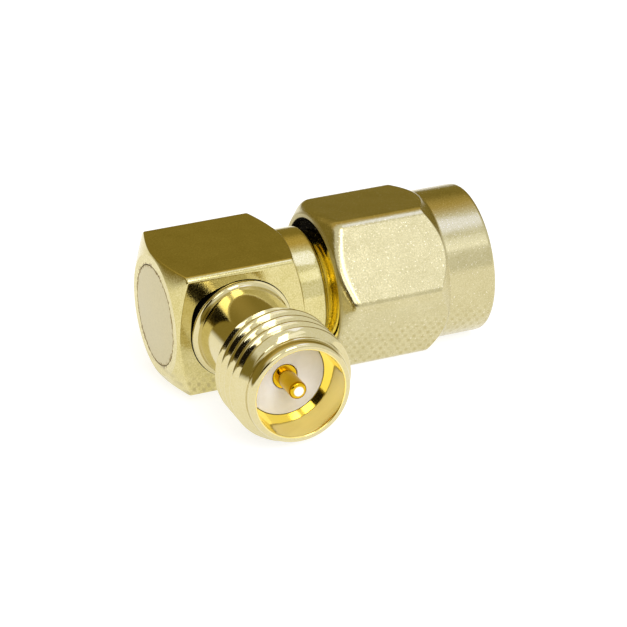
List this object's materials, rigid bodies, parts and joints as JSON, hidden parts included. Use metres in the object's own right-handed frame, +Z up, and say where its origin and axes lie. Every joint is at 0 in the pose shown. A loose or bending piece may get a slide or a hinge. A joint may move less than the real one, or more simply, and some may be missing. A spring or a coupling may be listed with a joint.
{
  "type": "coax adapter",
  "caption": "Right-angle coaxial adapter: threaded jack with a centre pin on a square elbow block, and a plug with a loose hexagonal coupling nut.",
  "frame": {"origin": "centre of the bounding box's base, on the table under the part", "axes": "+X along the plug's axis from the elbow block to the nut's mouth, +Z up from the nut's lower flat, and the jack points to -Y, a few degrees below level"},
  "size_m": [0.0174, 0.016, 0.008],
  "materials": {
    "elbow_body": "gold plate over turned and milled brass, satin top with bright faces",
    "end_cap": "fine matt gold plate",
    "jack_barrel": "bright gold plate over turned brass",
    "jack_insulator": "waxy white fluoropolymer",
    "jack_pin": "bright gold plate",
    "plug_ferrule": "bright gold plate over turned brass",
    "plug_insulator": "waxy white fluoropolymer",
    "plug_contact": "bright gold plate",
    "gasket": "matt silicone rubber",
    "retaining_ring": "gold plate",
    "coupling_nut": "gold plate, satin flats and a turned round collar"
  },
  "bodies": {
    "elbow": {"elbow_body": "elbow_body", "end_cap": "end_cap", "jack_barrel": "jack_barrel", "jack_insulator": "jack_insulator", "jack_pin": "jack_pin", "plug_ferrule": "plug_ferrule", "plug_insulator": "plug_insulator", "plug_contact": "plug_contact", "gasket": "gasket"},
    "nut_ring": {"retaining_ring": "retaining_ring"},
    "nut": {"coupling_nut": "coupling_nut"}
  },
  "joints": [
    {"name": "nut_end_float", "type": "slide", "parent": "elbow", "child": "nut_ring", "axis": [1, 0, 0], "range_m": [-0.00015, 0.00015]},
    {"name": "nut_spin", "type": "hinge", "parent": "nut_ring", "child": "nut", "pos_m": [0.00162, 0.00338, 0.004], "axis": [1, 0, 0], "continuous": true}
  ]
}
